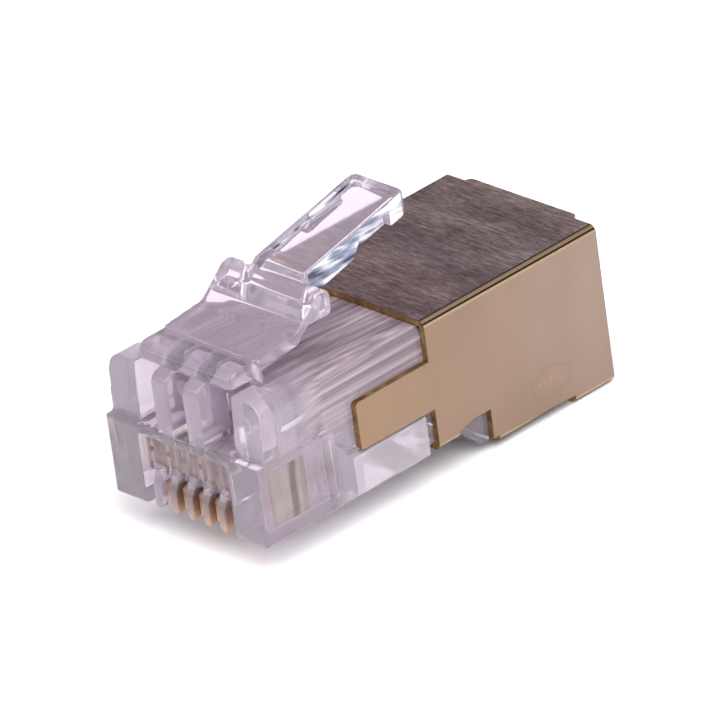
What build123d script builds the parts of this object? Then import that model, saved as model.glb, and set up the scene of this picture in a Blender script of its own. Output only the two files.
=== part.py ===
from build123d import *
import os

# Shielded telephone modular plug, six positions wide with four contacts, not yet crimped to a cable.
# Working frame: X across the plug, Y from the nose towards the cable, Z from the contact side to the latch.
# Sizes are in millimetres and are measured from the nose's front face (Y = 0) and its underside (Z = 0).
# The finished pieces are moved at the end, so that the origin lies under the middle of the plug.

# Nose block, the part that enters the jack first: it stands out a little on each side of the shield
nose_overhang = 0.065
block_height = 3.84
block_length = 4.6
block_edge_radius = 0.15
block_bottom_radius = 0.12
block_ramp_length = 0.85
flange_height = 1.93
flange_end = 9.96

# Upper nose: shoulders run on as rails to the shield, and two ribs carry the latch root over a deep pocket
shoulder_overhang = 0.04
shoulder_top = 6.7
shoulder_front_low = 0.45
shoulder_front_high = 0.62
shoulder_end = 2.0
rail_level_end = 4.6
rail_drop = 0.05
rail_width = 1.1
rail_bevel = 0.2
middle_roof = 6.3
shoulder_corner_radius = 0.85
rib_spacing = 1.96
rib_width = 0.95
rib_front = 0.05
rib_edge_radius = 0.6
root_front = 0.7
root_underside = 6.85
pocket_depth = 2.2

# Contacts: six positions, of which the four inner ones are loaded
contact_pitch = 1.02
position_count = 6
loaded_positions = (1, 2, 3, 4)
blade_thickness = 0.3
blade_front = 0.75
blade_end = 4.7
blade_bottom = 0.28
blade_body_top = 2.95
blade_point_top = 3.9
blade_nose_radius = 0.9
blade_corner_radius = 0.2
piercing_point_count = 3
piercing_point_width = 0.75
piercing_start = 2.4

# Slots in the housing for the blades and for the jack's spring wires
slot_clearance = 0.03
slot_gap = 0.1
wire_gap = 0.54
wire_gap_height = 1.5
comb_depth = 0.5
comb_rib_height = 2.1
comb_recess_top = 3.46
comb_rib_radius = 0.2
comb_slant_start = 1.1

# Conductor channels and cable cavity
channel_radius = 0.48
channel_height = 4.72
channel_front = 2.55
cavity_front = 7.0
cavity_throat = 9.2
cavity_side_wall = 1.15
cavity_floor_wall = 0.65
throat_floor = 0.9
cavity_roof = 5.3
cavity_edge_radius = 0.5
mouth_chamfer = 0.4

# Conductor strain relief: a bar moulded in a window of the underside
window_front = 5.05
window_width = 6.3
bar_side_gap = 0.25
bar_front_gap = 0.3
bar_bottom = 0.15
bar_top = 1.95
bar_shelf = 1.25
bar_web_bottom = 0.85
bar_rear_gap = 0.4
bar_crest_length = 0.25

# Shield: one folded sheet
sheet = 0.28
shield_width = 9.52
shield_top = 6.3
fold_radius = 0.34
shield_front = 10.55
shield_end = 21.25
tongue_front = 6.08
tongue_low = 2.0
tongue_high = 4.35
tongue_radius = 0.2
front_tab_end = 11.85
front_tab_bottom = -0.05
front_tab_reach = 1.9
notch_front = 12.69
notch_end = 13.75
notch_height = 0.53
middle_front = 14.1
middle_end = 18.2
middle_bottom = -1.26
rear_tab_front = 18.83
rear_tab_bottom = -1.5
relief_height = -1.1
seam_gap = 0.3
shield_corner_radius = 0.4
top_lip_width = 6.8
top_lip_reach = 0.3
dimple_radius = 0.45
dimple_depth = 0.04
dimple_from_front = 6.6
dimple_height = 0.55
shield_clearance = 0.03

# Housing inside the shield
ramp_start = 11.9
ramp_end = 13.26
ramp_depth = 1.08
rear_step = 18.5
housing_end = 20.95
rear_edge_radius = 0.5

# Latch: a sprung lever that grows out of the nose's top
latch_width = 6.02
root_top = 7.6
root_front_radius = 0.65
root_edge_radius = 0.3
hinge_from_nose = 2.75
plate_thickness = 0.55
hinge_clearance = 0.03
seat_lip_setback = 0.1
plate_end = 4.85
plate_rise = 0.2
wing_start = 5.55
plate_bend_radius = 0.5
crest_start = 6.35
crest_end = 7.0
crest_height = 9.06
crest_radius = 0.5
wing_bottom = 7.88
wing_edge_radius = 0.25
relief_radius = 0.3
lever_width = 3.25
lever_end = 13.3
lever_top_at_crest = 9.38
lever_rise = 0.222
lever_depth = 1.25
grip_start = 10.4
grip_end = 12.2
grip_side_depth = 0.42
grip_slant = 0.5
grip_rim = 0.4
tip_bottom_rise = 0.1
lever_edge_radius = 0.12
tip_corner_radius = 0.35
panel_rim = 0.42
panel_depth = 0.18
panel_start = 7.7

# Reach within which an edge or corner counts as lying on a plane
hair = 0.01

# Values worked out from the sizes above
nose_width = shield_width + 2 * nose_overhang
half_nose = nose_width / 2
upper_width = shield_width + 2 * shoulder_overhang
half_upper = upper_width / 2
half_latch = latch_width / 2
seat_half = shield_width / 2 - sheet - shield_clearance
rail_inner = seat_half - rail_width
body_top = shield_top - sheet - shield_clearance
blade_slot = blade_thickness + 2 * slot_clearance
slot_start = blade_front - slot_gap
slot_end = blade_end + slot_gap
piercing_end = piercing_start + piercing_point_count * piercing_point_width
channel_ceiling = channel_height + channel_radius
tab_level = front_tab_bottom + sheet + shield_clearance
middle_level = middle_bottom + sheet + shield_clearance
rear_level = rear_tab_bottom + sheet + shield_clearance
cavity_floor = middle_level + cavity_floor_wall
cavity_half = seat_half - cavity_side_wall
hinge_height = root_top - plate_thickness / 2
plate_bottom = root_top - plate_thickness


def slab(x_from, x_to, y_from, y_to, z_from, z_to):
    """A block between two opposite corners."""
    size = Box(x_to - x_from, y_to - y_from, z_to - z_from)
    return Pos((x_from + x_to) / 2, (y_from + y_to) / 2, (z_from + z_to) / 2) * size


def side_face(points):
    """A closed outline in Y and Z, seen from the plug's side."""
    return make_face(Plane.YZ * Polyline(*points, close=True))


def across(face, x_from, x_to):
    """A side outline given its width across the plug."""
    return Pos(x_from, 0, 0) * extrude(face, amount=x_to - x_from, dir=(1, 0, 0))


def along(face, y_from, y_to):
    """A cross-section in X and Z, run from one Y to another."""
    return Pos(0, y_from, 0) * extrude(Plane.XZ * face, amount=y_to - y_from, dir=(0, 1, 0))


def position_x(index):
    """Centre of one of the contact positions, counted from the left of the nose."""
    return (index - (position_count - 1) / 2) * contact_pitch


def mirrored(piece):
    """A piece and its twin on the other side of the plug."""
    return piece + mirror(piece, about=Plane.YZ)


def rounded(face, y, z, radius):
    """A side outline with the corner nearest to one point rounded off."""
    corner = min(face.vertices(), key=lambda vertex: abs(vertex.Y - y) + abs(vertex.Z - z))
    return fillet([corner], radius)


def near(shape_edges, axis, value):
    """Edges whose middle lies at one value along an axis."""
    return [edge for edge in shape_edges if abs(getattr(edge.center(), axis) - value) < 2 * hair]


def lengthwise(shape_edges):
    """Edges that run mostly along the plug."""
    return [edge for edge in shape_edges if abs(edge.tangent_at(0.5).Y) > abs(edge.tangent_at(0.5).Z)]


def nose_block():
    """Lower nose and the side flanges behind it, as one outline with a sloping end."""
    outline = side_face([
        (0, 0),
        (flange_end, 0),
        (flange_end, flange_height),
        (block_length + block_ramp_length, flange_height),
        (block_length, block_height - block_ramp_length),
        (block_length, block_height),
        (0, block_height),
    ])
    block = across(outline, -half_nose, half_nose)
    corners = near(block.edges().filter_by(Axis.Z), "Y", 0)
    block = fillet(corners, block_edge_radius)
    front_bottom = [edge for edge in near(block.edges(), "Z", 0) if edge.center().Y < block_edge_radius]
    return fillet(front_bottom, block_bottom_radius)


def round_outer_top(piece):
    """Round the upper outer edges of a shoulder or rail, which run along the plug."""
    outer = [edge for edge in piece.edges() if edge.center().X > seat_half - hair]
    high = [edge for edge in outer if edge.center().Z > body_top]
    return fillet(lengthwise(high), shoulder_corner_radius)


def shoulder():
    """Right shoulder beside the latch root, with a leaning face and a round outer corner."""
    outline = side_face([
        (shoulder_front_low, block_height),
        (shoulder_end, block_height),
        (shoulder_end, shoulder_top),
        (shoulder_front_high, shoulder_top),
    ])
    return round_outer_top(across(outline, half_latch, half_upper))


def rail():
    """Right rail behind the shoulder, which narrows and slopes down to slip under the shield."""
    end = shield_front - shield_clearance
    outline = side_face([
        (shoulder_end, block_height),
        (end, block_height),
        (end, body_top),
        (rail_level_end, shoulder_top - rail_drop),
        (shoulder_end, shoulder_top - rail_drop),
    ])
    plan = make_face(Polyline(
        (rail_inner, shoulder_end),
        (half_upper, shoulder_end),
        (seat_half, block_length),
        (seat_half, end),
        (rail_inner, end),
        close=True,
    ))
    piece = across(outline, rail_inner, half_upper) & extrude(plan, amount=shoulder_top)
    inner = [edge for edge in near(piece.edges(), "X", rail_inner) if edge.center().Z > body_top + rail_drop]
    piece = chamfer(lengthwise(inner), rail_bevel)
    return round_outer_top(piece)


def rib():
    """Right rib, which carries the latch root down to the ledge."""
    middle = rib_spacing / 2
    piece = slab(
        middle - rib_width / 2,
        middle + rib_width / 2,
        rib_front,
        pocket_depth,
        block_height,
        root_underside,
    )
    return fillet(near(near(piece.edges(), "Z", root_underside), "Y", rib_front), rib_edge_radius)


def upper_body():
    """Upper half of the housing in front of the shield."""
    outline = side_face([
        (pocket_depth, block_height - flange_height),
        (block_length, block_height - flange_height),
        (shield_front - shield_clearance, body_top - sheet),
        (shield_front - shield_clearance, body_top),
        (rail_level_end, middle_roof),
        (pocket_depth, middle_roof),
    ])
    half = half_upper - shoulder_corner_radius
    beside = slab(half_latch, half, shoulder_end, pocket_depth, block_height, middle_roof)
    return across(outline, -half, half) + mirrored(beside)


def shield_seat():
    """Part of the housing that the shield wraps, with its underside stepping down to the cable's depth."""
    front = block_length - block_ramp_length
    outline = side_face([
        (front, 0),
        (flange_end, 0),
        (flange_end, tab_level),
        (ramp_start, tab_level),
        (ramp_end, -ramp_depth),
        (notch_end, -ramp_depth),
        (notch_end, middle_level),
        (rear_step, middle_level),
        (rear_step, rear_level),
        (housing_end, rear_level),
        (housing_end, body_top),
        (front, body_top),
    ])
    seat = across(outline, -seat_half, seat_half)
    top_edges = near(near(seat.edges(), "Z", body_top), "Y", (housing_end + front) / 2)
    seat = fillet(top_edges, rear_edge_radius)
    pad = shield_width / 2 - front_tab_reach - shield_clearance
    return seat + slab(-pad, pad, flange_end, ramp_start, 0, tab_level)


def latch_root():
    """Root of the latch: a plate over the pocket, a wall behind it and the round seat of the bend."""
    rear = hinge_from_nose - seat_lip_setback
    plate = slab(-half_latch, half_latch, root_front, rear, root_underside, root_top)
    plate = fillet(near(near(plate.edges(), "Z", root_top), "Y", root_front), root_front_radius)
    plate = fillet(near(plate.edges().filter_by(Axis.Y), "Z", root_top), root_edge_radius)
    wall = slab(-half_latch, half_latch, pocket_depth, rear, block_height, root_top - root_edge_radius)
    seat = Cylinder(plate_thickness / 2 + hinge_clearance, latch_width, rotation=(0, 90, 0))
    return plate + wall - Pos(0, hinge_from_nose, hinge_height) * seat


def comb_rib():
    """One rib of the nose's comb, with a round lower end and a top that slants back to the wall."""
    height = comb_rib_height + comb_rib_radius
    outline = RectangleRounded(contact_pitch - wire_gap, height, comb_rib_radius)
    profile = side_face([
        (0, 0),
        (comb_depth, 0),
        (comb_depth, comb_rib_height),
        (0, comb_slant_start),
    ])
    return along(Pos(0, height / 2) * outline, 0, comb_depth) & across(profile, -contact_pitch, contact_pitch)


def comb_recess():
    """Window in the nose's front face that the comb stands in."""
    half = position_count * contact_pitch / 2 - (contact_pitch - wire_gap) / 2
    return slab(-half, half, 0, comb_depth, 0, comb_recess_top)


def contact_slots():
    """Six narrow slots for blades, open to the channels above and wider below for the jack's wire."""
    half = blade_slot / 2
    slots = []
    for index in range(position_count):
        x = position_x(index)
        slots.append(slab(x - half, x + half, slot_start, slot_end, 0, blade_body_top + slot_clearance))
        slots.append(slab(x - half, x + half, piercing_start, piercing_end, 0, channel_height))
        slots.append(slab(x - wire_gap / 2, x + wire_gap / 2, 0, slot_end, 0, wire_gap_height))
    return slots


def conductor_channels():
    """Six round channels that lead the conductors over the blades."""
    channels = []
    for index in range(position_count):
        channel = along(Circle(channel_radius), channel_front, cavity_front + channel_radius)
        channels.append(Pos(position_x(index), 0, channel_height) * channel)
    return channels


def cable_cavity():
    """Hollow for the cable's jacket, with a floor that rises to the channels."""
    outline = side_face([
        (housing_end, cavity_floor),
        (notch_end, cavity_floor),
        (ramp_start, throat_floor),
        (cavity_throat, throat_floor),
        (cavity_front, channel_height - channel_radius),
        (cavity_front, channel_ceiling),
        (cavity_front + channel_radius, cavity_roof),
        (housing_end, cavity_roof),
    ])
    cavity = across(outline, -cavity_half, cavity_half)
    floor_edges = lengthwise(near(cavity.edges(), "Z", cavity_floor))
    roof_edges = lengthwise(near(cavity.edges(), "Z", cavity_roof))
    return fillet(floor_edges + roof_edges, cavity_edge_radius)


def strain_relief_window():
    """Window in the underside, up to the conductor channels."""
    half = window_width / 2
    return slab(-half, half, window_front, cavity_front - bar_rear_gap / 2, 0, channel_height)


def strain_relief_bar():
    """Bar that is pressed on the conductors at crimping, held by a thin web along its rear edge."""
    front = window_front + bar_front_gap
    rear = cavity_front - bar_rear_gap
    outline = side_face([
        (front, bar_bottom),
        (rear, bar_bottom),
        (rear, bar_web_bottom),
        (cavity_front, bar_web_bottom),
        (cavity_front, bar_shelf),
        (rear - bar_rear_gap / 2, bar_shelf),
        (front + bar_crest_length, bar_top),
        (front, bar_top),
    ])
    half = window_width / 2 - bar_side_gap
    return across(outline, -half, half)


def housing():
    """The clear moulded body with everything that is moulded in one with it."""
    body = nose_block() + upper_body() + mirrored(shoulder()) + mirrored(rail()) + mirrored(rib())
    body += [latch_root(), shield_seat()]
    body -= [comb_recess()] + contact_slots()
    for index in range(1, position_count):
        body += Pos((index - position_count / 2) * contact_pitch, 0, 0) * comb_rib()
    body -= conductor_channels() + [cable_cavity(), strain_relief_window()]
    body += strain_relief_bar()
    mouth = near(body.edges(), "Y", housing_end)
    rim = [edge for edge in mouth if abs(edge.center().X) < cavity_half + hair
           and cavity_floor - hair < edge.center().Z < cavity_roof + hair]
    return chamfer(rim, mouth_chamfer)


def lever_top(y):
    """Height of the narrow lever's upper face."""
    return lever_top_at_crest + (y - crest_end) * lever_rise


def latch_plate():
    """Wide front part of the latch: root cylinder, flexing plate and the two locking wings."""
    bend_top = root_top + plate_rise
    bend_bottom = plate_bottom + plate_rise
    outline = side_face([
        (hinge_from_nose, plate_bottom),
        (plate_end, bend_bottom),
        (wing_start, wing_bottom),
        (crest_end, wing_bottom),
        (crest_end, crest_height),
        (crest_start, crest_height),
        (plate_end, bend_top),
        (hinge_from_nose, root_top),
    ])
    outline = rounded(outline, plate_end, bend_top, plate_bend_radius)
    outline = rounded(outline, plate_end, bend_bottom, plate_bend_radius)
    outline = rounded(outline, crest_start, crest_height, crest_radius)
    outline = rounded(outline, crest_end, crest_height, wing_edge_radius)
    outline = rounded(outline, crest_end, wing_bottom, wing_edge_radius)
    wide = across(outline, -half_latch, half_latch)
    relief = Cylinder(relief_radius, 2 * crest_height)
    wide -= mirrored(Pos(lever_width / 2 + relief_radius, crest_end, crest_height) * relief)
    eye = Cylinder(plate_thickness / 2, latch_width, rotation=(0, 90, 0))
    return wide + Pos(0, hinge_from_nose, hinge_height) * eye


def latch_bar():
    """Narrow lever that the finger presses, with a deeper end and a grip hollow in each side."""
    outline = side_face([
        (wing_start, wing_bottom),
        (crest_end, lever_top(crest_end) - lever_depth),
        (lever_end, lever_top(lever_end) - lever_depth + tip_bottom_rise),
        (lever_end, lever_top(lever_end)),
        (crest_end, lever_top(crest_end)),
        (crest_start, crest_height - plate_thickness),
    ])
    bar = across(outline, -lever_width / 2, lever_width / 2)
    bar = fillet(near(bar.edges().filter_by(Axis.Z), "Y", lever_end), tip_corner_radius)
    hollow = side_face([
        (grip_start, lever_top(grip_start) - grip_rim),
        (grip_start - 2 * grip_slant, lever_top(grip_start) - 2 * lever_depth),
        (grip_end, lever_top(grip_end) - 2 * lever_depth),
        (grip_end, lever_top(grip_end) - grip_rim),
    ])
    bar -= mirrored(across(hollow, lever_width / 2 - grip_side_depth, lever_width))
    panel = side_face([
        (panel_start, lever_top(panel_start) - panel_depth),
        (lever_end - panel_rim, lever_top(lever_end - panel_rim) - panel_depth),
        (lever_end - panel_rim, lever_top(lever_end)),
        (panel_start, lever_top(lever_end)),
    ])
    half = lever_width / 2 - panel_rim
    sides = [edge for edge in bar.edges() if abs(abs(edge.center().X) - lever_width / 2) < hair]
    upper = [edge for edge in sides if abs(edge.center().Z - lever_top(edge.center().Y)) < hair]
    return fillet(upper, lever_edge_radius) - across(panel, -half, half)


def latch_lever():
    """The latch in front of and behind its flexing root."""
    return latch_plate() + latch_bar()


def contact_blade():
    """Flat contact: round front corner for the jack's wire and points that pierce a conductor."""
    points = [
        (blade_front, blade_bottom),
        (blade_end, blade_bottom),
        (blade_end, blade_body_top),
    ]
    pitch = piercing_point_width
    for index in reversed(range(piercing_point_count)):
        start = piercing_start + index * pitch
        points.append((start + pitch, blade_body_top))
        points.append((start + pitch / 2, blade_point_top))
    points.append((piercing_start, blade_body_top))
    points.append((blade_front, blade_body_top))
    face = side_face(points)
    nose = [v for v in face.vertices() if v.Y < blade_front + hair and v.Z < blade_bottom + hair]
    face = fillet(nose, blade_nose_radius)
    top = [v for v in face.vertices() if v.Y < blade_front + hair and v.Z > blade_body_top - hair]
    face = fillet(top, blade_corner_radius)
    return across(face, -blade_thickness / 2, blade_thickness / 2)


def folded_run(y_from, y_to, bottom, tab_reach):
    """A stretch of the shield whose side walls fold under the housing as two tabs."""
    height = shield_top - bottom
    centre = Pos(0, (shield_top + bottom) / 2)
    outer = centre * RectangleRounded(shield_width, height, fold_radius)
    inner = centre * RectangleRounded(shield_width - 2 * sheet, height - 2 * sheet, fold_radius - sheet)
    ring = along(outer - inner, y_from, y_to)
    gap = shield_width / 2 - tab_reach
    return ring - slab(-gap, gap, y_from, y_to, bottom, bottom + 2 * sheet)


def side_walls(face):
    """Flat walls of the shield, cut to a side outline."""
    return mirrored(across(face, shield_width / 2 - sheet, shield_width / 2))


def shield_dimple():
    """Dent pressed in each side of the shield, near its lower edge."""
    ball_radius = (dimple_radius ** 2 + dimple_depth ** 2) / (2 * dimple_depth)
    x = shield_width / 2 + ball_radius - dimple_depth
    return mirrored(Pos(x, shield_front + dimple_from_front, dimple_height) * Sphere(ball_radius))


def shield_corner():
    """What is cut from the shield's lower rear corner to make it round."""
    reach = shield_corner_radius
    square = slab(-shield_width, shield_width, shield_end - reach, shield_end,
                  rear_tab_bottom, rear_tab_bottom + reach)
    centre = Pos(0, shield_end - reach, rear_tab_bottom + reach)
    return square - centre * Cylinder(reach, 2 * shield_width, rotation=(0, 90, 0))


def shield_shell():
    """The shield: roof, sides with a tongue towards the nose, and tabs folded under the housing."""
    full_reach = (shield_width - seam_gap) / 2
    roof = folded_run(shield_front, shield_end, rear_tab_bottom, full_reach)
    roof -= slab(-shield_width, shield_width, shield_front, shield_end, rear_tab_bottom, tongue_low)
    shell = roof + folded_run(shield_front, front_tab_end, front_tab_bottom, front_tab_reach)
    shell += folded_run(middle_front, middle_end, middle_bottom, full_reach)
    shell += folded_run(rear_tab_front, shield_end, rear_tab_bottom, full_reach)
    tongue = side_face([
        (tongue_front, tongue_low),
        (shield_front, tongue_low),
        (shield_front, tongue_high),
        (tongue_front, tongue_high),
    ])
    front = [v for v in tongue.vertices() if v.Y < tongue_front + hair]
    shell += side_walls(fillet(front, tongue_radius))
    bridge = side_face([
        (front_tab_end, front_tab_bottom + fold_radius),
        (notch_front, notch_height),
        (notch_end, notch_height),
        (notch_end, middle_bottom + fold_radius),
        (rear_tab_front, relief_height),
        (rear_tab_front, tongue_low),
        (front_tab_end, tongue_low),
    ])
    shell += side_walls(bridge)
    shell -= [shield_dimple(), shield_corner()]
    lip = Pos(0, shield_end) * RectangleRounded(top_lip_width, 2 * top_lip_reach, sheet)
    return shell + Pos(0, 0, shield_top - sheet) * extrude(lip, amount=sheet)


def place(piece):
    """Move a piece so that the origin lies under the middle of the plug."""
    return Pos(0, -(shield_end + top_lip_reach) / 2, -rear_tab_bottom) * piece


def write(piece, name):
    """Write one piece as a STEP file under its own name."""
    piece.label = name
    export_step(piece, os.path.join("parts", name + ".step"))


os.makedirs("parts", exist_ok=True)
write(place(housing()), "housing")
write(place(latch_lever()), "latch_lever")
write(place(shield_shell()), "shield_shell")
for number, loaded in enumerate(loaded_positions, start=1):
    write(place(Pos(position_x(loaded), 0, 0) * contact_blade()), f"contact_{number}")
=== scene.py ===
# %% [markdown]
# A shielded telephone plug. On the real object three things meet: a clear moulding with a sprung latch, a shell
# folded from thin plated sheet, and four small contacts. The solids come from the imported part. This script
# gives each of them the surface that it has in reality, and sets up a camera, a floor and soft light.

# %% Start
import math

import bmesh
import bpy
from mathutils import Matrix, Vector


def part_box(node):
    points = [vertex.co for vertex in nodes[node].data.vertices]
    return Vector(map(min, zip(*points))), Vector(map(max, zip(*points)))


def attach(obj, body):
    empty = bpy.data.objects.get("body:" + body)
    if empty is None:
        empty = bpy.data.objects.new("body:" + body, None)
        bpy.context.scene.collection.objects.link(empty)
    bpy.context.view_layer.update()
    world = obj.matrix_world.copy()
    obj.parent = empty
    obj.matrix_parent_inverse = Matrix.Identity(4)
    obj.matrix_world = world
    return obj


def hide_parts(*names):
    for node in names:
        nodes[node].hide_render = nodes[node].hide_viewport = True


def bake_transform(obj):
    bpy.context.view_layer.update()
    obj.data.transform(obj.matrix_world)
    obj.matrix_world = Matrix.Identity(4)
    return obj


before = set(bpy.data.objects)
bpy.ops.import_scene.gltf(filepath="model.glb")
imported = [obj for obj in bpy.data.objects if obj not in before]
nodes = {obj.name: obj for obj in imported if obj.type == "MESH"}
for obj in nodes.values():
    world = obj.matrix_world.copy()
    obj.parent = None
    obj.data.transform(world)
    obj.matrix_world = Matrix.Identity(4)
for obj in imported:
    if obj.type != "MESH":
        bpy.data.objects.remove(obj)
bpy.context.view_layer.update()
print("solids:", sorted(nodes))

# %% [markdown]
# The part's origin lies under the middle of the plug, but the plug is easier to think about from its nose, in
# millimetres: Y counts from the nose's front face, and Z from the contact side. One small function turns such
# a place into metres in the part's own frame, so that every later number can be read off the object.

# %% Places on the plug
MM = 0.001
NOSE_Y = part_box("housing")[0].y
CONTACT_SIDE_Z = 0.0015


def at(x, y, z):
    """A place in millimetres from the nose, as a vector in metres in the part's frame."""
    return Vector((x * MM, y * MM + NOSE_Y, z * MM + CONTACT_SIDE_Z))


def behind_nose(y):
    """The Y coordinate of a place so many millimetres behind the nose's front face."""
    return at(0, y, 0).y


def over_contact_side(z):
    """The Z coordinate of a place so many millimetres over the contact side."""
    return at(0, 0, z).z


print("nose front at", round(NOSE_Y, 5), "m")

# %% [markdown]
# A material is a small network of nodes. These helpers add a node, set its inputs and join sockets in one line
# each, so that the recipes below read as a list of what happens to the surface.

# %% Helpers for nodes


def new_material(name):
    """An empty material with its node tree and output."""
    material = bpy.data.materials.new(name)
    material.use_nodes = True
    material.node_tree.nodes.clear()
    output = material.node_tree.nodes.new("ShaderNodeOutputMaterial")
    return material, material.node_tree, output


def add(tree, kind, inputs=None, **settings):
    """One node: settings are its properties, inputs are socket values or the sockets that feed them."""
    node = tree.nodes.new(kind)
    for name, value in settings.items():
        setattr(node, name, value)
    for name, value in (inputs or {}).items():
        if isinstance(value, bpy.types.NodeSocket):
            tree.links.new(value, node.inputs[name])
        else:
            node.inputs[name].default_value = value
    return node


def math_node(tree, operation, first, second=0.0, third=0.0):
    """One sum on two or three values or sockets."""
    return add(tree, "ShaderNodeMath", {0: first, 1: second, 2: third}, operation=operation).outputs[0]


def three_parts(tree, vector):
    """The X, Y and Z of a vector."""
    return add(tree, "ShaderNodeSeparateXYZ", {"Vector": vector}).outputs


print("helpers for nodes ready")

# %% [markdown]
# Noise gives a surface its grain, and a colour ramp turns the noise into colours. On a moulding or a rolled
# sheet the grain runs one way, so the noise is drawn out along one direction before it is coloured.

# %% Helpers for colour


def stretched_noise(tree, scale, stretch, detail=3.0, roughness=0.5):
    """Noise in object space whose grains are drawn out along one direction."""
    coordinates = add(tree, "ShaderNodeTexCoord")
    mapping = add(tree, "ShaderNodeMapping", {
        "Vector": coordinates.outputs["Object"], "Scale": stretch,
    })
    return add(tree, "ShaderNodeTexNoise", {
        "Vector": mapping.outputs["Vector"], "Scale": scale, "Detail": detail, "Roughness": roughness,
    }).outputs["Fac"]


def ramp(tree, factor, stops):
    """A colour ramp through (position, colour) stops."""
    node = add(tree, "ShaderNodeValToRGB", {"Fac": factor})
    elements = node.color_ramp.elements
    elements[0].position, elements[0].color = stops[0][0], (*stops[0][1], 1)
    elements[1].position, elements[1].color = stops[-1][0], (*stops[-1][1], 1)
    for position, colour in stops[1:-1]:
        elements.new(position).color = (*colour, 1)
    return node.outputs["Color"]


def mixed(tree, factor, first, second, blend_type="MIX"):
    """Two colours mixed, or the second multiplied on the first."""
    return add(tree, "ShaderNodeMix", {
        "Factor": factor, "A": first, "B": second,
    }, data_type="RGBA", blend_type=blend_type).outputs["Result"]


print("helpers for colour ready")

# %% [markdown]
# A mask is 1 where something shows and 0 elsewhere. It could be painted on the faces, but the skin of the
# plastic is remeshed below, and its faces have no fixed order. A mask that compares the place of a point with
# a few limits survives that. Several limits multiplied together make a box.

# %% Helpers for masks


def above(tree, value, limit):
    """1 where the value is more than the limit."""
    return math_node(tree, "GREATER_THAN", value, limit)


def below(tree, value, limit):
    """1 where the value is less than the limit."""
    return math_node(tree, "LESS_THAN", value, limit)


def multiplied(tree, first, *others):
    """The product of several masks."""
    for other in others:
        first = math_node(tree, "MULTIPLY", first, other)
    return first


def in_range(tree, value, low, high):
    """1 where the value lies between two limits, 0 elsewhere."""
    return multiplied(tree, above(tree, value, low), below(tree, value, high))


def fade(tree, value, start, end):
    """0 at the start, 1 at the end and even between them."""
    return add(tree, "ShaderNodeMapRange", {
        "Value": value, "From Min": start, "From Max": end,
    }).outputs["Result"]


print("helpers for masks ready")

# %% [markdown]
# The clear moulding is polycarbonate: colourless with a faint lilac cast, and a little hazy at the nose. Its
# recipe starts with what a point of the surface knows about itself: where it is, and which way it faces.

# %% Clear plastic: where a point is
PITCH = 1.02 * MM

clear, tree, output = new_material("clear_plastic_look")
x_place, y_place, z_place = three_parts(tree, add(tree, "ShaderNodeTexCoord").outputs["Object"])
facing = three_parts(tree, add(tree, "ShaderNodeNewGeometry").outputs["Normal"])
from_middle = math_node(tree, "ABSOLUTE", x_place)
from_rib = math_node(tree, "PINGPONG", from_middle, PITCH / 2)
print("material:", clear.name)

# %% [markdown]
# From the latch root to the shell the draw marks of the mould run along the plug as fine bright and dark
# lines. So there a noise drawn out along Y makes the plastic more and less milky, and colours it. A broader
# noise of the same kind gathers the lines into bands, and a slow ripple keeps every other face from being
# perfectly even.

# %% Clear plastic: draw marks
rails = multiplied(
    tree,
    fade(tree, y_place, behind_nose(2.4), behind_nose(4.5)),
    fade(tree, z_place, over_contact_side(6.9), over_contact_side(6.6)),
    fade(tree, z_place, over_contact_side(2.2), over_contact_side(4.9)),
)
marks = stretched_noise(tree, 4600.0, (1.0, 0.012, 1.0), 2.0, 0.6)
bands = stretched_noise(tree, 1500.0, (1.0, 0.03, 1.0), 2.0)
ripple = stretched_noise(tree, 320.0, (1.0, 0.6, 1.0), 2.0)
lines = ramp(tree, marks, [
    (0.38, (0.0, 0.0, 0.0)), (0.5, (0.45, 0.45, 0.45)), (0.64, (1.0, 1.0, 1.0)),
])
rail_milk = multiplied(tree, rails, math_node(tree, "MULTIPLY_ADD", lines, 0.14, 0.38))
streak = math_node(tree, "MULTIPLY_ADD", bands, 0.4, math_node(tree, "MULTIPLY", marks, 0.6))
rail_colour = ramp(tree, streak, [
    (0.37, (0.22, 0.16, 0.19)), (0.5, (0.35, 0.28, 0.32)), (0.63, (0.54, 0.46, 0.50)),
])
calm_colour = ramp(tree, ripple, [(0.3, (0.76, 0.67, 0.765)), (0.7, (0.83, 0.75, 0.835))])
print("draw marks ready")

# %% [markdown]
# The ribs of the comb stand beside the contacts, and their lower half shows the contacts' colour: golden at the
# bottom and dark red-brown above. Glass-like plastic would do this by itself with many bounces of light and
# much noise, so here that reflection of the contacts is painted on the faces that show it. They are the sides
# of the ribs that look at a contact, and the fronts.

# %% Clear plastic: ribs of the comb
rib_zone = multiplied(
    tree,
    below(tree, from_rib, 0.26 * MM),
    in_range(tree, x_place, -2.4 * MM, 2.4 * MM),
    in_range(tree, y_place, behind_nose(-0.1), behind_nose(0.44)),
    in_range(tree, z_place, over_contact_side(-0.1), over_contact_side(2.1)),
)
OUTER_RIB = 1.3 * MM
right_faces = multiplied(tree, above(tree, facing["X"], 0.4), above(tree, x_place, -OUTER_RIB))
left_faces = multiplied(tree, below(tree, facing["X"], -0.4), below(tree, x_place, OUTER_RIB))
front_faces = multiplied(
    tree, in_range(tree, facing["X"], -0.4, 0.4), above(tree, x_place, -OUTER_RIB), 0.8,
)
coloured_faces = math_node(tree, "ADD", front_faces, math_node(tree, "ADD", right_faces, left_faces))
# Painted reflection of the contacts on the ribs' faces: golden low down and dark red-brown above.
painted_contact_reflection = multiplied(tree, coloured_faces, below(tree, z_place, over_contact_side(1.5)), rib_zone)
reflection_height = fade(tree, z_place, over_contact_side(0.1), over_contact_side(1.5))
painted_contact_colour = ramp(tree, reflection_height, [
    (0.0, (0.56, 0.37, 0.24)), (0.35, (0.32, 0.18, 0.12)), (0.75, (0.17, 0.10, 0.08)),
    (1.0, (0.28, 0.19, 0.17)),
])
print("ribs ready")
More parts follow.
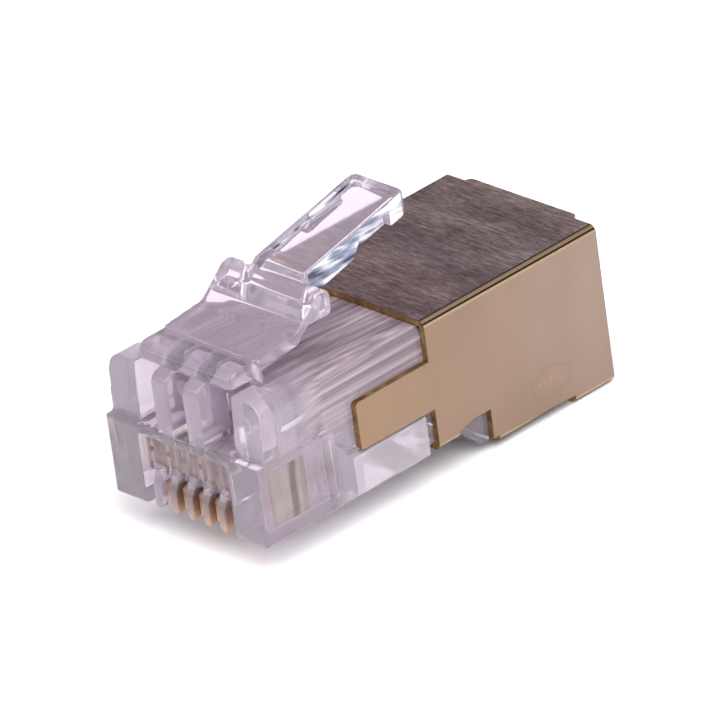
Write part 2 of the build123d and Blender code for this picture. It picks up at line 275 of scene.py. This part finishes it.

# %% [markdown]
# Behind the ribs is a thin wall. The slots behind it make it look brown, with upright bands, and this is
# painted shade on the wall; a small dark mark of painted shade stands between each pair of ribs. On the side of
# the nose the slots show through as beige bands, painted as light and shade.

# %% Clear plastic: painted shade of the slots that show through
comb_wall = multiplied(
    tree,
    in_range(tree, x_place, -2.8 * MM, 2.8 * MM),
    in_range(tree, y_place, behind_nose(0.40), behind_nose(0.60)),
    in_range(tree, z_place, over_contact_side(1.9), over_contact_side(3.4)),
)
# Painted shade: a small dark mark in the gap between each pair of ribs.
painted_gap_shade = multiplied(
    tree,
    comb_wall,
    above(tree, from_rib, 0.38 * MM),
    in_range(tree, z_place, over_contact_side(2.45), over_contact_side(2.7)),
)
nose_side = multiplied(
    tree,
    above(tree, from_middle, 4.7 * MM),
    in_range(tree, y_place, behind_nose(0.55), behind_nose(2.7)),
    in_range(tree, z_place, over_contact_side(0.8), over_contact_side(3.45)),
)
upright = stretched_noise(tree, 2600.0, (1.0, 1.0, 0.12), 3.0, 0.6)
# Painted shade of the slots behind the wall, in upright brown bands.
painted_slot_shade = ramp(tree, upright, [
    (0.38, (0.30, 0.20, 0.205)), (0.5, (0.43, 0.32, 0.325)), (0.62, (0.58, 0.46, 0.46)),
])
panels = stretched_noise(tree, 1500.0, (1.0, 1.0, 0.10), 2.0, 0.6)
# Painted light and shade of the slots seen through the side of the nose, as beige bands.
painted_nose_side_shading = ramp(tree, panels, [
    (0.38, (0.24, 0.19, 0.17)), (0.45, (0.52, 0.44, 0.39)), (0.56, (0.62, 0.55, 0.50)),
    (0.64, (0.44, 0.36, 0.35)),
])
print("wall and nose side ready")

# %% [markdown]
# The sides of the lever get painted reflections: bright and blue-black streaks, where light is mirrored inside
# it. The flanges under the shell's tongues are painted a little paler than the rest, as painted light, and the
# ribs and shoulders over the comb are a little hazier.

# %% Clear plastic: lever, flanges and shoulders
lever_side = multiplied(
    tree,
    above(tree, math_node(tree, "ABSOLUTE", facing["X"]), 0.75),
    in_range(tree, y_place, behind_nose(7.1), behind_nose(13.0)),
    above(tree, z_place, over_contact_side(7.2)),
)
flange = multiplied(
    tree,
    in_range(tree, y_place, behind_nose(5.5), behind_nose(9.97)),
    below(tree, z_place, over_contact_side(1.95)),
)
upper_front = multiplied(
    tree,
    below(tree, y_place, behind_nose(2.6)),
    in_range(tree, z_place, over_contact_side(3.9), over_contact_side(6.9)),
)
lever_streaks = stretched_noise(tree, 1300.0, (1.0, 0.16, 0.8), 3.0, 0.6)
# Painted reflections: bright and blue-black streaks on the lever's sides.
painted_lever_reflection = ramp(tree, lever_streaks, [
    (0.39, (0.02, 0.03, 0.07)), (0.46, (0.28, 0.31, 0.42)), (0.52, (0.97, 0.97, 1.0)),
    (0.58, (0.78, 0.76, 0.82)), (0.64, (0.08, 0.09, 0.15)),
])
print("lever, flanges and shoulders ready")

# %% [markdown]
# Now the masks come together. Real haze is scattering inside the plastic, and a volume could make it, but that
# is slow and noisy on a piece so small. Less transmission on the surface looks much the same, so each mask
# adds its share of milk, and then lays its colour over the calm one.

# %% Clear plastic: milk and colour
CLEAREST = 0.86
GAP_SHADE_BROWN = (0.22, 0.16, 0.17, 1)
# Painted light: the flanges are coloured paler than the rest of the plastic.
FLANGE_PAINTED_LIGHT = (0.86, 0.79, 0.865, 1)

milk = rail_milk
for mask, share in (
    (rib_zone, 0.14), (painted_contact_reflection, 0.36), (comb_wall, 0.30), (flange, 0.16), (nose_side, 0.14),
    (upper_front, 0.08), (lever_side, 0.58),
):
    milk = math_node(tree, "MULTIPLY_ADD", mask, share, milk)
tint = mixed(tree, rails, calm_colour, rail_colour)
for mask, colour in (
    (lever_side, painted_lever_reflection), (painted_contact_reflection, painted_contact_colour), (comb_wall, painted_slot_shade),
    (painted_gap_shade, GAP_SHADE_BROWN), (nose_side, painted_nose_side_shading), (flange, FLANGE_PAINTED_LIGHT),
):
    tint = mixed(tree, mask, tint, colour)
height = math_node(tree, "MULTIPLY_ADD", marks, rails, math_node(tree, "MULTIPLY", ripple, 0.5))
bump = add(tree, "ShaderNodeBump", {"Height": height, "Strength": 0.07, "Distance": 0.00005})
plastic = add(tree, "ShaderNodeBsdfPrincipled", {
    "Base Color": tint, "Normal": bump.outputs["Normal"],
    "Transmission Weight": math_node(tree, "SUBTRACT", CLEAREST, milk),
})
plastic.inputs["Roughness"].default_value = 0.06
plastic.inputs["IOR"].default_value = 1.5
tree.links.new(plastic.outputs["BSDF"], output.inputs["Surface"])
print("clear plastic:", len(tree.nodes), "nodes")

# %% [markdown]
# The shell is thin sheet with a warm plating. It is one solid, so one material has to tell its sides, its
# roof, its bent corners and its cut edges apart. The normal does that: it points sideways on a side and up on
# the roof, and its angle grows evenly over the bend.

# %% Shell metal: which face it is
shell_low, shell_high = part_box("shield_shell")

shell_look, tree, output = new_material("shield_metal_look")
geometry = add(tree, "ShaderNodeNewGeometry")
facing = three_parts(tree, geometry.outputs["Normal"])
place = three_parts(tree, add(tree, "ShaderNodeTexCoord").outputs["Object"])
sideways = math_node(tree, "ABSOLUTE", facing["X"])
fold_angle = math_node(tree, "DIVIDE", math_node(tree, "ARCSINE", sideways), math.pi / 2)
cut_end = above(tree, math_node(tree, "ABSOLUTE", facing["Y"]), 0.5)
low_ledge = multiplied(tree, above(tree, facing["Z"], 0.5), below(tree, place["Z"], shell_high.z - 0.0004))
cut_part = math_node(tree, "MAXIMUM", cut_end, low_ledge)
from_front = fade(tree, place["Y"], shell_low.y, shell_high.y)
print("material:", shell_look.name)

# %% [markdown]
# The sides are even and satin, more golden towards the nose. Near the lower edge of each is a shallow dimple.
# Its solid is only 0.04 mm deep, so a faint ring of painted shade and a painted highlight in the middle help it
# to be seen. The distance from the middle, squared and divided by the half axes, gives an ellipse.

# %% Shell metal: sides and dimple
DENT = at(0, 17.5, 0.25)
DENT_LENGTH, DENT_HEIGHT = 1.3 * MM, 0.8 * MM

cloud = stretched_noise(tree, 260.0, (1.0, 1.0, 0.4), 4.0)
golden = ramp(tree, cloud, [(0.3, (0.27, 0.18, 0.115)), (0.7, (0.32, 0.215, 0.14))])
greyer = ramp(tree, cloud, [(0.3, (0.29, 0.215, 0.17)), (0.7, (0.335, 0.25, 0.205))])
along_dent = math_node(tree, "DIVIDE", math_node(tree, "SUBTRACT", place["Y"], DENT.y), DENT_LENGTH)
up_dent = math_node(tree, "DIVIDE", math_node(tree, "SUBTRACT", place["Z"], DENT.z), DENT_HEIGHT)
up_squared = math_node(tree, "MULTIPLY", up_dent, up_dent)
outward = math_node(tree, "MULTIPLY_ADD", along_dent, along_dent, up_squared)
dent = fade(tree, outward, 1.0, 0.0)
# Painted shade in a ring round the dimple, and a painted highlight in its middle.
dent_painted_shading = ramp(tree, dent, [
    (0.0, (1.0, 1.0, 1.0)), (0.12, (0.94, 0.93, 0.92)), (0.40, (1.0, 1.0, 1.0)),
    (1.0, (1.07, 1.06, 1.03)),
])
side_colour = mixed(tree, 1.0, mixed(tree, from_front, golden, greyer), dent_painted_shading, "MULTIPLY")
print("sides ready")

# %% [markdown]
# The roof is darker, and shows the rolling direction of the sheet as short grain across the plug. A broad
# noise makes patches in it, and towards the rear it gets lighter, as in the photo.

# %% Shell metal: roof
patch = stretched_noise(tree, 420.0, (0.6, 1.0, 1.0), 4.0, 0.6)
grain = stretched_noise(tree, 8000.0, (0.16, 1.0, 1.0), 5.0, 0.8)
roof_fine = ramp(tree, grain, [
    (0.36, (0.17, 0.13, 0.13)), (0.5, (0.33, 0.265, 0.255)), (0.64, (0.56, 0.475, 0.455)),
])
roof_broad = ramp(tree, patch, [(0.36, (0.52, 0.50, 0.50)), (0.64, (1.06, 1.05, 1.04))])
roof_tone = ramp(tree, from_front, [
    (0.35, (0.92, 0.80, 0.80)), (0.6, (1.0, 0.95, 0.95)), (1.0, (1.15, 1.10, 1.02)),
])
# The roof's darkness is partly painted shade: its colour stands for the dark that the roof mirrors from above.
roof_grain = mixed(tree, 1.0, roof_fine, roof_broad, "MULTIPLY")
roof_grain_and_painted_shade = mixed(tree, 1.0, roof_grain, roof_tone, "MULTIPLY")
print("roof ready")

# %% [markdown]
# The bent corner gets a painted reflection: brighter in the middle with a dark line on each side, so its colour
# follows the angle of the surface. The cut edges are browner than the faces.

# %% Shell metal: bends and cut edges
ROOF_ENDS, SIDE_STARTS = 0.07, 0.92

# Painted reflection on the bend: a dark line on each side and a bright middle.
painted_bend_reflection = ramp(tree, fold_angle, [
    (0.10, (0.05, 0.035, 0.025)), (0.18, (0.06, 0.04, 0.03)), (0.26, (0.30, 0.22, 0.14)),
    (0.50, (0.36, 0.27, 0.17)), (0.57, (0.04, 0.025, 0.015)), (0.68, (0.06, 0.035, 0.02)),
    (0.75, (0.62, 0.48, 0.28)), (0.88, (0.40, 0.29, 0.19)),
])
speckle = stretched_noise(tree, 1500.0, (1.0, 1.0, 1.0), 3.0, 0.6)
edge_colour = ramp(tree, speckle, [
    (0.34, (0.24, 0.14, 0.05)), (0.5, (0.42, 0.27, 0.09)), (0.66, (0.62, 0.44, 0.18)),
])
roof_or_fold = mixed(tree, above(tree, fold_angle, ROOF_ENDS), roof_grain_and_painted_shade, painted_bend_reflection)
faces = mixed(tree, above(tree, fold_angle, SIDE_STARTS), roof_or_fold, side_colour)
surface = mixed(tree, cut_part, faces, edge_colour)
print("bends and edges ready")

# %% [markdown]
# Each sharp edge gets a thin line of painted shade. The Bevel node knows the normal that a rounded edge would
# have. Where it differs from the true normal there is an edge, and the line of painted shade is drawn. That
# needs no extra geometry, and leaves the solid as it is.

# %% Shell metal: painted edge shade and finish
EDGE_SHADE_WIDTH = 0.00007
EDGE_SHADE_SHARE = 0.85
EDGE_SHADE_BROWN = (0.06, 0.035, 0.015, 1)

softened = add(tree, "ShaderNodeBevel", {"Radius": EDGE_SHADE_WIDTH}, samples=6)
likeness = add(tree, "ShaderNodeVectorMath", {
    0: softened.outputs["Normal"], 1: geometry.outputs["Normal"],
}, operation="DOT_PRODUCT").outputs["Value"]
# Painted shade: a thin dark line along each sharp edge.
painted_edge_shade = multiplied(tree, fade(tree, likeness, 0.95, 0.84), below(tree, dent, 0.01), EDGE_SHADE_SHARE)
relief = math_node(tree, "MULTIPLY_ADD", dent, -2.0, grain)
bump = add(tree, "ShaderNodeBump", {"Height": relief, "Strength": 0.25, "Distance": 0.00003})
metal = add(tree, "ShaderNodeBsdfPrincipled", {
    "Base Color": mixed(tree, painted_edge_shade, surface, EDGE_SHADE_BROWN), "Normal": bump.outputs["Normal"],
})
metal.inputs["Metallic"].default_value = 1.0
metal.inputs["Roughness"].default_value = 0.36
tree.links.new(metal.outputs["BSDF"], output.inputs["Surface"])
print("shell metal:", len(tree.nodes), "nodes")

# %% [markdown]
# The contacts are stamped from thin copper alloy and plated where the jack's wires touch them. They sit deep
# in narrow slots, where little light comes. The toe at the front is golden low down and dark red-brown above,
# so the colour follows the height. Half of it is a plain coat, so that it also shows where nothing bright is
# mirrored.

# %% Contact metal
contact_look, tree, output = new_material("contact_metal_look")
place = three_parts(tree, add(tree, "ShaderNodeTexCoord").outputs["Object"])
tone = stretched_noise(tree, 900.0, (1.0, 1.0, 1.0), 3.0)
toe_height = fade(tree, place["Z"], over_contact_side(0.1), over_contact_side(1.5))
colour = ramp(tree, math_node(tree, "MULTIPLY_ADD", tone, 0.3, toe_height), [
    (0.15, (0.80, 0.58, 0.39)), (0.55, (0.58, 0.36, 0.24)), (0.85, (0.32, 0.16, 0.11)),
    (1.0, (0.44, 0.27, 0.19)),
])
copper = add(tree, "ShaderNodeBsdfPrincipled", {"Base Color": colour})
copper.inputs["Metallic"].default_value = 0.45
copper.inputs["Roughness"].default_value = 0.35
tree.links.new(copper.outputs["BSDF"], output.inputs["Surface"])
print("material:", contact_look.name)

# %% [markdown]
# The next pieces are made as meshes. Four helpers do what they share: add a welded copy of a solid, add a
# block, show a mesh in the scene, and apply a modifier for good.

# %% Helpers for meshes


def merged_copy(name, target):
    """Adds a welded copy of a solid's mesh to a bmesh."""
    piece = bmesh.new()
    piece.from_mesh(nodes[name].data)
    bmesh.ops.remove_doubles(piece, verts=piece.verts, dist=1e-7)
    mesh = bpy.data.meshes.new(name + "_copy")
    piece.to_mesh(mesh)
    piece.free()
    target.from_mesh(mesh)
    bpy.data.meshes.remove(mesh)


def block(target, low, high):
    """Adds a block between two corners to a bmesh."""
    middle = (low + high) / 2
    size = high - low
    matrix = Matrix.Translation(middle) @ Matrix.Diagonal((*size, 1))
    bmesh.ops.create_cube(target, size=1, matrix=matrix)


def shown(name, mesh):
    """A new object in the scene."""
    made = bpy.data.objects.new(name, mesh)
    bpy.context.scene.collection.objects.link(made)
    return made


def baked(made):
    """The object's mesh with its modifiers applied, and the modifiers gone."""
    depsgraph = bpy.context.evaluated_depsgraph_get()
    mesh = bpy.data.meshes.new_from_object(made.evaluated_get(depsgraph))
    made.modifiers.clear()
    made.data = mesh
    return made


print("helpers for meshes ready")

# %% [markdown]
# Small raised marks stand in two rows on the nose, at the pitch of the contacts: flat pads on the ledge, and a
# block on the slanted top of each rib of the comb. A row is one thing repeated, so a Geometry Nodes tree makes
# it: points on a line, a box on each point, and the count, the pitch, the place and the box's size as inputs.

# %% Rows of marks: the tree


def row_tree():
    """Node tree for a row of equal boxes, centred on one place."""
    tree = bpy.data.node_groups.new("row_of_marks", "GeometryNodeTree")
    tree.interface.new_socket("Geometry", in_out="OUTPUT", socket_type="NodeSocketGeometry")
    for name, kind in (("Count", "Int"), ("Pitch", "Float"), ("Middle", "Vector"), ("Size", "Vector")):
        tree.interface.new_socket(name, in_out="INPUT", socket_type="NodeSocket" + kind)
    given = tree.nodes.new("NodeGroupInput").outputs
    gaps = math_node(tree, "SUBTRACT", given["Count"], 1.0)
    half_run = math_node(tree, "MULTIPLY", math_node(tree, "MULTIPLY", gaps, given["Pitch"]), 0.5)
    step = add(tree, "ShaderNodeCombineXYZ", {"X": given["Pitch"]}).outputs["Vector"]
    back_up = add(tree, "ShaderNodeCombineXYZ", {"X": half_run}).outputs["Vector"]
    start = add(tree, "ShaderNodeVectorMath", {
        0: given["Middle"], 1: back_up,
    }, operation="SUBTRACT").outputs["Vector"]
    line = add(tree, "GeometryNodeMeshLine", {
        "Count": given["Count"], "Start Location": start, "Offset": step,
    })
    box = add(tree, "GeometryNodeMeshCube", {"Size": given["Size"]})
    placed = add(tree, "GeometryNodeInstanceOnPoints", {
        "Points": line.outputs["Mesh"], "Instance": box.outputs["Mesh"],
    })
    real = add(tree, "GeometryNodeRealizeInstances", {"Geometry": placed.outputs["Instances"]})
    dressed = add(tree, "GeometryNodeSetMaterial", {
        "Geometry": real.outputs["Geometry"], "Material": clear,
    })
    end = tree.nodes.new("NodeGroupOutput")
    tree.links.new(dressed.outputs["Geometry"], end.inputs["Geometry"])
    return tree


tree = row_tree()
print("tree:", tree.name, "with", len(tree.nodes), "nodes")

# %% [markdown]
# A modifier runs the tree on an empty object. Its inputs are set by the socket's identifier, because a
# modifier doesn't know their names. The result is then taken as a plain mesh, and the object goes.

# %% Rows of marks: two rows


def marks_row(tree, **inputs):
    """A plain mesh made by the tree with these inputs."""
    holder = shown("marks_row", bpy.data.meshes.new("marks_row"))
    modifier = holder.modifiers.new("row", "NODES")
    modifier.node_group = tree
    for item in tree.interface.items_tree:
        if item.in_out == "INPUT":
            modifier[item.identifier] = inputs[item.name]
    mesh = baked(holder).data
    bpy.data.objects.remove(holder)
    return mesh


pad_size = (0.5 * MM, 0.16 * MM, 0.12 * MM)
pads = marks_row(tree, Count=6, Pitch=PITCH, Middle=at(0, 0.28, 3.84), Size=pad_size)
block_size = (0.30 * MM, 0.36 * MM, 0.30 * MM)
blocks = marks_row(tree, Count=5, Pitch=PITCH, Middle=at(0, 0.34, 1.66), Size=block_size)
print("marks:", len(pads.polygons) // 6, "pads and", len(blocks.polygons) // 6, "blocks")

# %% [markdown]
# Housing and latch are one moulding in reality, and light runs through them as one. So copies of both solids,
# the marks and a small bridge that closes the gap of the hinge are joined, and a voxel remesh turns them into
# one skin. It also rounds every edge by about one voxel, as a mould does. A few rounds of smoothing take out
# the small steps that the voxels leave on flat faces, and decimation then brings the skin to a sensible size.

# %% One clear skin
ROOT_Y = 2.75
PLATE_LOW, PLATE_HIGH = 7.05, 7.6
HALF_LATCH, BRIDGE_INSET = 3.01, 0.2
VOXEL = 0.06 * MM
SKIN_FACES = 190000

raw = bmesh.new()
merged_copy("housing", raw)
merged_copy("latch_lever", raw)
bridge_low = at(-HALF_LATCH + BRIDGE_INSET, ROOT_Y - 0.45, PLATE_LOW - 0.02)
bridge_high = at(HALF_LATCH - BRIDGE_INSET, ROOT_Y + 0.15, PLATE_HIGH - 0.01)
block(raw, bridge_low, bridge_high)
raw.from_mesh(pads)
raw.from_mesh(blocks)
mesh = bpy.data.meshes.new("clear_skin")
raw.to_mesh(mesh)
raw.free()
skin = shown("clear_skin", mesh)
remesh = skin.modifiers.new("one skin", "REMESH")
remesh.mode = "VOXEL"
remesh.voxel_size = VOXEL
remesh.use_smooth_shade = True
even = skin.modifiers.new("even faces", "SMOOTH")
even.factor = 0.5
even.iterations = 4
baked(skin)
full = len(skin.data.polygons) * 2
thin = skin.modifiers.new("fewer faces", "DECIMATE")
thin.ratio = SKIN_FACES / full
baked(skin)
print("skin:", full, "triangles brought to", len(skin.data.polygons))

# %% [markdown]
# The latch has to move, so the skin is cut at the latch root into two pieces that meet in the same loop of
# points. No face is put in the cut: light passes through it as through solid plastic.

# %% Cut at the latch root
root = at(0, ROOT_Y, 6.85)
whole = bmesh.new()
whole.from_mesh(skin.data)
upper = [face for face in whole.faces if face.calc_center_median().z > root.z]
parts = set(upper)
for face in upper:
    parts.update(face.edges)
    parts.update(face.verts)
bmesh.ops.bisect_plane(whole, geom=list(parts), plane_co=root, plane_no=(0, 1, 0), dist=1e-7)


def piece_of(source, name, keep):
    """A copy of a bmesh with only the faces whose middle passes a test."""
    part = source.copy()
    gone = [face for face in part.faces if not keep(face.calc_center_median())]
    bmesh.ops.delete(part, geom=gone, context="FACES")
    mesh = bpy.data.meshes.new(name)
    part.to_mesh(mesh)
    part.free()
    mesh.polygons.foreach_set("use_smooth", [True] * len(mesh.polygons))
    mesh.materials.clear()
    mesh.materials.append(clear)
    return shown(name, mesh)


def in_latch(middle):
    """True behind the root and above the housing's roof."""
    return middle.y > root.y and middle.z > root.z


body_piece = piece_of(whole, "clear_housing", lambda middle: not in_latch(middle))
latch_piece = piece_of(whole, "clear_latch", in_latch)
whole.free()
bpy.data.objects.remove(skin)
print("body", len(body_piece.data.polygons), "latch", len(latch_piece.data.polygons))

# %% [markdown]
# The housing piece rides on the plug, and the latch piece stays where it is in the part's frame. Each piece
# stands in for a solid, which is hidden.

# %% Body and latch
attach(body_piece, "plug")
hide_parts("housing")
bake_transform(latch_piece)
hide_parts("latch_lever")

# %% [markdown]
# The shell has the right shape already, so the solid stays and only gets its surface.

# %% Shell
nodes["shield_shell"].data.materials.clear()
nodes["shield_shell"].data.materials.append(shell_look)
print("shell faces:", len(nodes["shield_shell"].data.polygons))

# %% [markdown]
# The edge of each contact shows through the ribs of the comb, so here each contact gets a toe that reaches
# forward in the gap between two ribs. Its outline is written once, in millimetres from the nose, and given
# the thickness and the place of each solid: a rounded toe, a straight back edge and three points that pierce
# a conductor.

# %% Contacts with a toe
TOE_FRONT, TOE_LOW, TOE_TOP, TOE_RADIUS = 0.3, 0.08, 1.38, 0.3
BLADE_FRONT, BLADE_END, BLADE_TOP = 0.75, 4.7, 2.95
POINT_START, POINT_WIDTH, POINT_TOP, POINTS = 2.4, 0.75, 3.9, 3
ARC_STEPS = 8


def contact_outline():
    """Points (y, z) round the contact, from the toe's lower corner back, up and forward again."""
    outline = [(BLADE_END, TOE_LOW), (BLADE_END, BLADE_TOP)]
    for index in reversed(range(POINTS)):
        start = POINT_START + index * POINT_WIDTH
        outline.append((start + POINT_WIDTH, BLADE_TOP))
        outline.append((start + POINT_WIDTH / 2, POINT_TOP))
    outline.append((POINT_START, BLADE_TOP))
    outline.append((BLADE_FRONT, BLADE_TOP))
    outline.append((BLADE_FRONT, TOE_TOP))
    outline.append((TOE_FRONT, TOE_TOP - TOE_RADIUS / 2))
    for step in range(ARC_STEPS + 1):
        angle = math.pi / 2 * step / ARC_STEPS
        outline.append((
            TOE_FRONT + TOE_RADIUS * (1 - math.cos(angle)),
            TOE_LOW + TOE_RADIUS * (1 - math.sin(angle)),
        ))
    return outline


def contact_mesh(name, low, high):
    """The outline as a flat blade between two X places."""
    blade = bmesh.new()
    corners = []
    for y, z in contact_outline():
        corners.append(blade.verts.new((low, behind_nose(y), over_contact_side(z))))
    face = blade.faces.new(corners)
    extruded = bmesh.ops.extrude_face_region(blade, geom=[face])["geom"]
    moved = [item for item in extruded if isinstance(item, bmesh.types.BMVert)]
    bmesh.ops.translate(blade, verts=moved, vec=(high - low, 0, 0))
    bmesh.ops.recalc_face_normals(blade, faces=blade.faces)
    mesh = bpy.data.meshes.new(name)
    blade.to_mesh(mesh)
    blade.free()
    mesh.materials.append(contact_look)
    return mesh


for name in [name for name in nodes if name.startswith("contact")]:
    low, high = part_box(name)
    contact = shown("toed_" + name, contact_mesh("toed_" + name, low.x, high.x))
    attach(contact, "plug")
    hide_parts(name)
    print(contact.name, "faces:", len(contact.data.polygons))

# %% [markdown]
# The plug lies on a pale sheet of paper, which keeps its shadow.

# %% Floor
bpy.ops.mesh.primitive_plane_add(size=2.0, location=(0, 0, 0))
floor = bpy.context.object
floor.name = "floor"
floor_look, tree, output = new_material("floor_look")
paper = stretched_noise(tree, 40.0, (1.0, 1.0, 1.0), 2.0)
paper_colour = ramp(tree, paper, [(0.0, (0.93, 0.93, 0.93)), (1.0, (0.96, 0.96, 0.96))])
sheet = add(tree, "ShaderNodeBsdfDiffuse", {"Color": paper_colour})
tree.links.new(sheet.outputs["BSDF"], output.inputs["Surface"])
floor.data.materials.append(floor_look)
print("floor ready")

# %% [markdown]
# Plastic and metal look like their surroundings. Small lamps would leave hard dots on them, so these are
# large, close and weak: one over the plug, one on its right and one in front.

# %% Lamps


def lamp(name, place, size, power, target=(0, 0, 0.004)):
    """A square lamp that faces the plug."""
    data = bpy.data.lights.new(name, "AREA")
    data.size = size
    data.energy = power
    made = shown(name, data)
    made.location = place
    made.rotation_euler = (Vector(target) - Vector(place)).to_track_quat("-Z", "Y").to_euler()


lamp("key", (0.16, -0.06, 0.30), 0.30, 1.2)
lamp("side", (0.34, -0.04, 0.12), 0.24, 0.4)
lamp("front", (-0.12, -0.24, 0.22), 0.24, 0.4)
print("lamps:", [made.name for made in bpy.data.lights])

# %% [markdown]
# The rest of the light comes from the world. It is bright low down and straight up, and greyer between, which
# gives the clear plastic its soft lines. The camera itself sees plain white: Light Path tells its rays apart.

# %% World
world = bpy.data.worlds.new("studio")
bpy.context.scene.world = world
world.use_nodes = True
tree = world.node_tree
tree.nodes.clear()
output = tree.nodes.new("ShaderNodeOutputWorld")
upward = three_parts(tree, add(tree, "ShaderNodeTexCoord").outputs["Generated"])["Z"]
sky = ramp(tree, upward, [
    (0.0, (0.95, 0.93, 0.96)), (0.12, (0.62, 0.58, 0.64)), (0.5, (0.45, 0.41, 0.47)),
    (1.0, (1.0, 0.98, 1.0)),
])
soft = add(tree, "ShaderNodeBackground", {"Color": sky, "Strength": 0.9})
white = add(tree, "ShaderNodeBackground", {"Color": (1, 1, 1, 1), "Strength": 1.0})
seen = add(tree, "ShaderNodeLightPath").outputs["Is Camera Ray"]
both = add(tree, "ShaderNodeMixShader", {0: seen, 1: soft.outputs[0], 2: white.outputs[0]})
tree.links.new(both.outputs[0], output.inputs["Surface"])
print("world:", world.name)

# %% [markdown]
# The camera stands where the photographer's did: low on the right in front of the nose, far away with a long
# lens, and rolled a few degrees. The numbers come from fitting the sharp corners of the plug in the photo.
# Right, up and back are worked out from the three angles, and the aim is then shifted so that the corner of
# the nose falls on its own pixel.

# %% Camera
AZIMUTH, ELEVATION, ROLL = (math.radians(angle) for angle in (50.55, 28.0, -8.54))
DISTANCE = 459.0
PIXELS_PER_MM = 23.076
NOSE_PIXEL = Vector((191.7, 520.3))
PICTURE = 720

right = Vector((math.cos(AZIMUTH), math.sin(AZIMUTH), 0))
back = Vector((
    math.sin(AZIMUTH) * math.cos(ELEVATION),
    -math.cos(AZIMUTH) * math.cos(ELEVATION),
    math.sin(ELEVATION),
))
up = back.cross(right)
image_right = right * math.cos(ROLL) + up * math.sin(ROLL)
image_up = up * math.cos(ROLL) - right * math.sin(ROLL)
focal_pixels = PIXELS_PER_MM * DISTANCE
offset = Vector((PICTURE / 2, PICTURE / 2)) - NOSE_PIXEL
forward = (image_right * offset.x - image_up * offset.y - back * focal_pixels).normalized()
camera_right = (image_right - forward * image_right.dot(forward)).normalized()
camera_up = camera_right.cross(forward)
camera_data = bpy.data.cameras.new("camera")
camera_data.sensor_width = 36.0
camera_data.lens = focal_pixels / PICTURE * camera_data.sensor_width
camera_data.clip_start = 0.01
camera = shown("camera", camera_data)
turn = Matrix((camera_right, camera_up, -forward)).transposed().to_4x4()
camera.matrix_world = Matrix.Translation(at(*(back * DISTANCE))) @ turn
bpy.context.scene.camera = camera
bpy.context.scene.view_settings.view_transform = "Standard"
print("lens", round(camera_data.lens), "mm")
